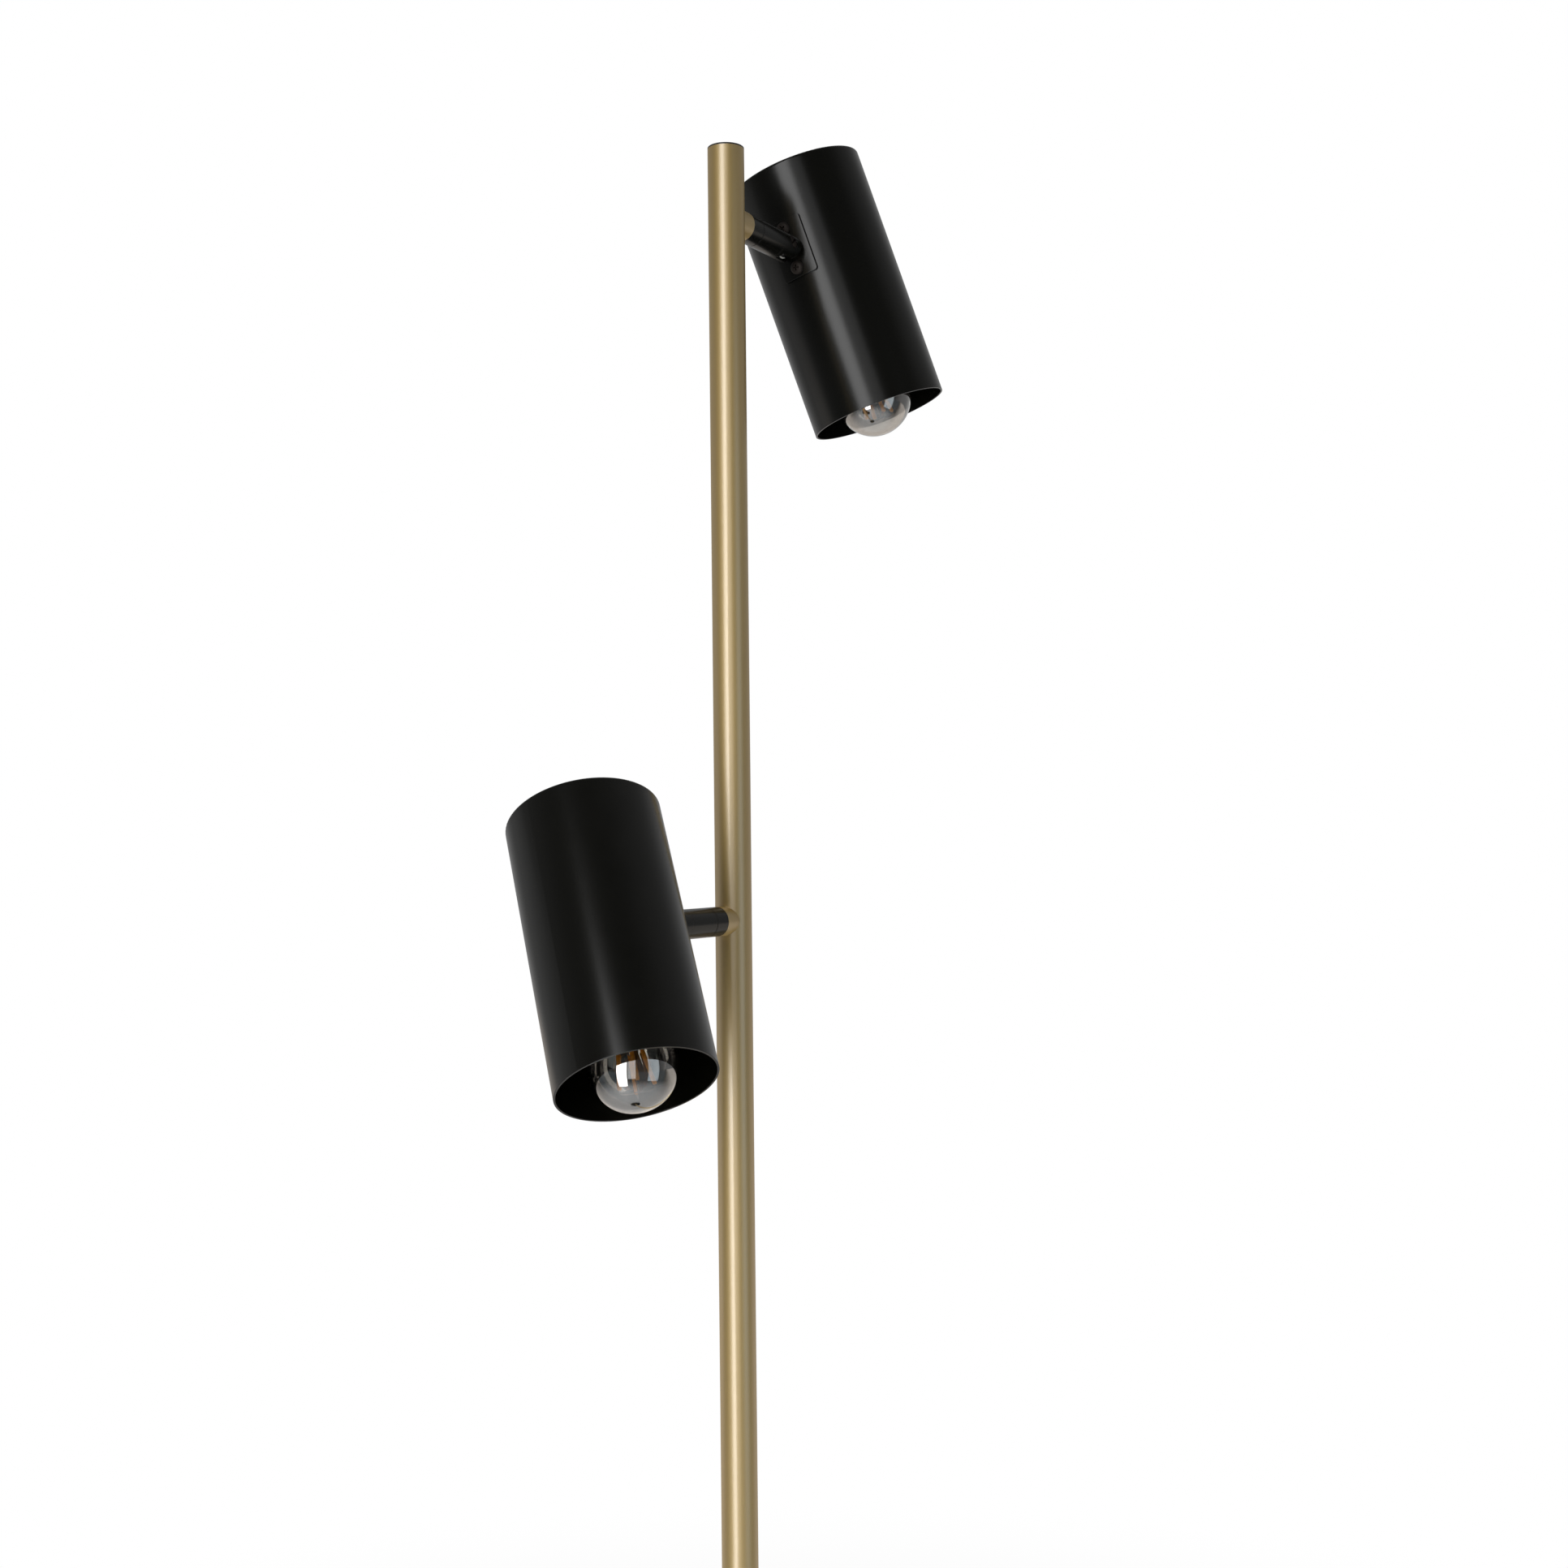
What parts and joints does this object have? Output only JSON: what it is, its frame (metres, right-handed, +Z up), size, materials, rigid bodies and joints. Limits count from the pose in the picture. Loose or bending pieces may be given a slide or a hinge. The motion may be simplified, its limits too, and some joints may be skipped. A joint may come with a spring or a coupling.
{
  "type": "two-spot floor lamp",
  "caption": "Free-standing floor lamp: round pole on a weighted disc base, with adjustable cylinder spots on short arms that swivel and tilt.",
  "frame": {"origin": "centre of the underside of the base pad, on the floor", "axes": "+Z up along the pole, +X along the upper arm, lower arm close to -X"},
  "size_m": [0.3495, 0.252, 1.5294],
  "materials": {
    "satin_brass": "satin, brushed along the tube and lacquered",
    "black_paint": "fine satin powder coat",
    "black_plastic": "moulded, matt",
    "plated_steel": "zinc plated",
    "black_steel": "black oxide",
    "grey_iron": "as cast",
    "black_rubber": "matt",
    "white_nylon": "moulded",
    "lead_sleeve": "soft sleeve",
    "clear_glass": "clear blown glass",
    "nickel_cap": "rolled thread",
    "filament_phosphor": "phosphor coat, unlit"
  },
  "bodies": {
    "stand": {"base_cover": "black_paint", "base_weight": "grey_iron", "base_pad": "black_rubber", "base_nut": "plated_steel", "base_washer": "plated_steel", "base_nipple": "plated_steel", "foot_collar": "satin_brass", "cord_inlet": "black_rubber", "pole_lower": "satin_brass", "pole_upper": "satin_brass", "pole_coupler": "plated_steel", "pole_cap": "black_plastic", "pole_lead": "lead_sleeve", "upper_insert": "plated_steel", "upper_stub": "satin_brass", "upper_ring": "black_paint", "upper_seam_washer": "white_nylon", "upper_bolt": "plated_steel", "upper_spring_washer": "plated_steel", "lower_insert": "plated_steel", "lower_stub": "satin_brass", "lower_ring": "black_paint", "lower_seam_washer": "white_nylon", "lower_bolt": "plated_steel", "lower_spring_washer": "plated_steel"},
    "upper_arm": {"upper_arm": "black_paint", "upper_fork": "black_paint", "upper_tilt_screw": "black_steel", "upper_tilt_nut": "black_steel", "upper_tilt_washers": "white_nylon"},
    "upper_head": {"upper_knuckle": "black_paint", "upper_plate_screws": "black_steel", "upper_shade": "black_paint", "upper_bracket": "plated_steel", "upper_holder": "black_plastic", "upper_holder_nut": "plated_steel", "upper_lead": "lead_sleeve", "upper_bulb_glass": "clear_glass", "upper_bulb_cap": "nickel_cap", "upper_bulb_stem": "clear_glass", "upper_filaments": "filament_phosphor"},
    "lower_arm": {"lower_arm": "black_paint", "lower_fork": "black_paint", "lower_tilt_screw": "black_steel", "lower_tilt_nut": "black_steel", "lower_tilt_washers": "white_nylon"},
    "lower_head": {"lower_knuckle": "black_paint", "lower_plate_screws": "black_steel", "lower_shade": "black_paint", "lower_bracket": "plated_steel", "lower_holder": "black_plastic", "lower_holder_nut": "plated_steel", "lower_lead": "lead_sleeve", "lower_bulb_glass": "clear_glass", "lower_bulb_cap": "nickel_cap", "lower_bulb_stem": "clear_glass", "lower_filaments": "filament_phosphor"}
  },
  "joints": [
    {"name": "upper_swivel", "type": "hinge", "parent": "stand", "child": "upper_arm", "pos_m": [0, 0, 1.4615], "axis": [1, 0, 0], "range_deg": [-133.65, 166.35]},
    {"name": "upper_tilt", "type": "hinge", "parent": "upper_arm", "child": "upper_head", "pos_m": [0.061, 0, 1.4615], "axis": [0, -0.9596, 0.2815], "range_deg": [-40.31, 59.69]},
    {"name": "lower_swivel", "type": "hinge", "parent": "stand", "child": "lower_arm", "pos_m": [0, 0, 1.0785], "axis": [-0.9996, 0.0279, 0], "range_deg": [-177.88, 122.12]},
    {"name": "lower_tilt", "type": "hinge", "parent": "lower_arm", "child": "lower_head", "pos_m": [-0.06098, 0.0017, 1.0785], "axis": [0.0247, 0.8836, -0.4676], "range_deg": [-48.11, 51.89]}
  ]
}
